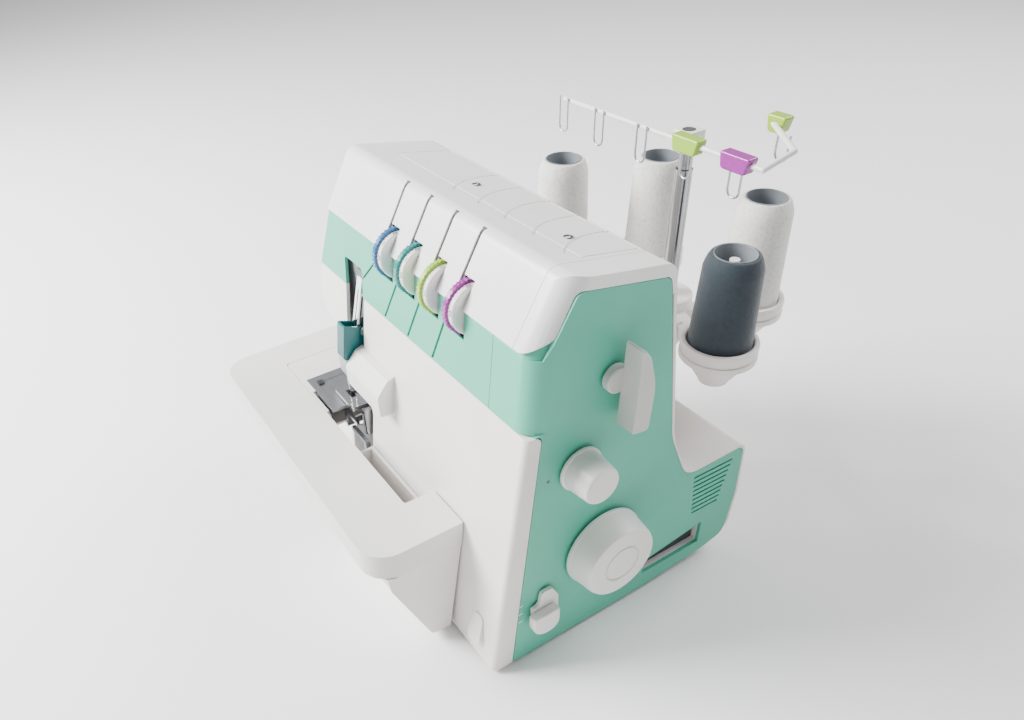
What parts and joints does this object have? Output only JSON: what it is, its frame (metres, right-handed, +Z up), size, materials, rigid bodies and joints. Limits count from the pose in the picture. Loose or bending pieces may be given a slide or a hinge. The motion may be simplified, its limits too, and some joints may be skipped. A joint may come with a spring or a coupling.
{
  "type": "serger overlock sewing machine",
  "caption": "Free-standing overlock machine: plastic housing with tension dials, needle and looper mechanism, cutting knives, extension table with waste tray, and a thread stand with cones.",
  "frame": {"origin": "on the floor, under the middle of the whole machine", "axes": "+X towards the handwheel side, -Y towards the operator, +Z up"},
  "size_m": [0.3626, 0.382, 0.305],
  "materials": {
    "shell": "satin",
    "mint": "satin",
    "grey_plastic": "matt",
    "dark_plastic": "matt",
    "rubber": "matt",
    "alloy": "cast",
    "steel": "satin",
    "dark_steel": "satin",
    "chrome": "polished",
    "bronze": "machined",
    "motor_case": "satin",
    "blue": "gloss",
    "teal": "gloss",
    "lime": "gloss",
    "magenta": "gloss",
    "white_thread": "wound thread",
    "slate_thread": "wound thread"
  },
  "bodies": {
    "machine": {"bottom_plate": "grey_plastic", "rubber_feet": "rubber", "chassis": "alloy", "right_cover": "mint", "left_cover": "shell", "rear_cover": "shell", "front_band": "mint", "top_cap": "shell", "cap_corner": "shell", "needle_pocket": "dark_plastic", "fabric_plate": "shell", "bed_housing": "shell", "base_cover": "shell", "needle_plate": "steel", "plate_screws": "dark_steel", "lower_knife": "dark_steel", "shaft_bushes": "bronze", "motor": "motor_case", "drive_belt": "rubber", "power_inlet": "grey_plastic", "spool_stand": "shell", "stand_screws": "steel", "spool_pins": "shell", "pole_outer": "chrome", "take_up_guide": "chrome", "tension_discs": "steel"},
    "drive_shaft": {"main_shaft": "steel", "handwheel": "shell", "shaft_pulley": "dark_plastic"},
    "motor_rotor": {"motor_pulley": "steel"},
    "needle_set": {"needle_bar": "steel", "needle_clamp": "steel", "needles": "chrome"},
    "presser": {"presser_bar": "steel", "presser_foot": "chrome"},
    "lifter": {"presser_lifter": "shell"},
    "moving_knife": {"upper_knife": "steel"},
    "looper_high": {"upper_looper": "steel"},
    "looper_low": {"lower_looper": "steel"},
    "feed": {"feed_dogs": "dark_steel"},
    "tension_1": {"dial_blue": "blue"},
    "tension_2": {"dial_teal": "teal"},
    "tension_3": {"dial_lime": "lime"},
    "tension_4": {"dial_magenta": "magenta"},
    "stitch_length": {"stitch_knob": "shell"},
    "feed_ratio": {"feed_lever": "shell"},
    "front_door": {"looper_cover": "shell", "cover_tab": "shell", "knife_guard": "shell"},
    "eye_guard": {"finger_guard": "teal"},
    "table": {"extension_table": "shell"},
    "tray": {"waste_tray": "grey_plastic"},
    "thread_mast": {"pole_inner": "chrome", "guide_bar": "shell", "thread_clips": "lime", "guide_hooks": "dark_steel"},
    "cone_1": {"spool_1": "white_thread"},
    "cone_2": {"spool_2": "white_thread"},
    "cone_3": {"spool_3": "white_thread"},
    "cone_4": {"spool_grey": "slate_thread"}
  },
  "joints": [
    {"name": "main_shaft_spin", "type": "hinge", "parent": "machine", "child": "drive_shaft", "pos_m": [0.03075, -0.043, 0.082], "axis": [1, 0, 0], "continuous": true},
    {"name": "motor_spin", "type": "hinge", "parent": "machine", "child": "motor_rotor", "pos_m": [0.03075, 0.049, 0.05], "axis": [1, 0, 0], "continuous": true},
    {"name": "needle_bar_stroke", "type": "slide", "parent": "machine", "child": "needle_set", "axis": [0, 0, 1], "range_m": [-0.018, 0.006]},
    {"name": "presser_lift", "type": "slide", "parent": "machine", "child": "presser", "axis": [0, 0, 1], "range_m": [0, 0.006]},
    {"name": "lifter_turn", "type": "hinge", "parent": "machine", "child": "lifter", "pos_m": [0.03075, -0.0455, 0.2236], "axis": [-1, 0, 0], "range_deg": [0, 60]},
    {"name": "knife_stroke", "type": "slide", "parent": "machine", "child": "moving_knife", "axis": [0, 0, 1], "range_m": [-0.01, 0.003]},
    {"name": "upper_looper_swing", "type": "hinge", "parent": "machine", "child": "looper_high", "pos_m": [-0.03525, -0.019, 0.058], "axis": [0, 1, 0], "range_deg": [-10, 10]},
    {"name": "lower_looper_swing", "type": "hinge", "parent": "machine", "child": "looper_low", "pos_m": [-0.09125, -0.019, 0.062], "axis": [0, 1, 0], "range_deg": [-10, 10]},
    {"name": "feed_stroke", "type": "slide", "parent": "machine", "child": "feed", "axis": [0, 1, 0], "range_m": [-0.0015, 0.0015]},
    {"name": "dial_1_turn", "type": "hinge", "parent": "machine", "child": "tension_1", "pos_m": [0.03075, -0.0925, 0.2505], "axis": [1, 0, 0], "range_deg": [-135, 135]},
    {"name": "dial_2_turn", "type": "hinge", "parent": "machine", "child": "tension_2", "pos_m": [0.03075, -0.0925, 0.2505], "axis": [1, 0, 0], "range_deg": [-135, 135]},
    {"name": "dial_3_turn", "type": "hinge", "parent": "machine", "child": "tension_3", "pos_m": [0.03075, -0.0925, 0.2505], "axis": [1, 0, 0], "range_deg": [-135, 135]},
    {"name": "dial_4_turn", "type": "hinge", "parent": "machine", "child": "tension_4", "pos_m": [0.03075, -0.0925, 0.2505], "axis": [1, 0, 0], "range_deg": [-135, 135]},
    {"name": "stitch_length_turn", "type": "hinge", "parent": "machine", "child": "stitch_length", "pos_m": [0.03075, -0.0665, 0.1645], "axis": [1, 0, 0], "range_deg": [-150, 150]},
    {"name": "feed_ratio_turn", "type": "hinge", "parent": "machine", "child": "feed_ratio", "pos_m": [0.03075, -0.085, 0.05], "axis": [1, 0, 0], "range_deg": [-25, 25]},
    {"name": "door_slide", "type": "slide", "parent": "machine", "child": "front_door", "axis": [1, 0, 0], "range_m": [0, 0.01]},
    {"name": "eye_guard_swing", "type": "hinge", "parent": "machine", "child": "eye_guard", "pos_m": [0.03075, -0.1065, 0.1735], "axis": [-1, 0, 0], "range_deg": [0, 25]},
    {"name": "table_pull", "type": "slide", "parent": "machine", "child": "table", "axis": [-1, 0, 0], "range_m": [0, 0.095]},
    {"name": "tray_pull", "type": "slide", "parent": "machine", "child": "tray", "axis": [0, -1, 0], "range_m": [0, 0.06]},
    {"name": "mast_extend", "type": "slide", "parent": "machine", "child": "thread_mast", "axis": [0, 0, 1], "range_m": [0, 0.08]},
    {"name": "cone_1_spin", "type": "hinge", "parent": "machine", "child": "cone_1", "pos_m": [-0.07325, 0.1, 0.16], "axis": [0, 0, 1], "continuous": true},
    {"name": "cone_2_spin", "type": "hinge", "parent": "machine", "child": "cone_2", "pos_m": [-0.02725, 0.163, 0.16], "axis": [0, 0, 1], "continuous": true},
    {"name": "cone_3_spin", "type": "hinge", "parent": "machine", "child": "cone_3", "pos_m": [0.08075, 0.163, 0.16], "axis": [0, 0, 1], "continuous": true},
    {"name": "cone_4_spin", "type": "hinge", "parent": "machine", "child": "cone_4", "pos_m": [0.11275, 0.1, 0.16], "axis": [0, 0, 1], "continuous": true}
  ],
  "couplings": [
    {"joint": "motor_spin", "follows": "main_shaft_spin", "ratio": 3.25},
    {"joint": "presser_lift", "follows": "lifter_turn", "m_per_rad": 0.0057296}
  ]
}
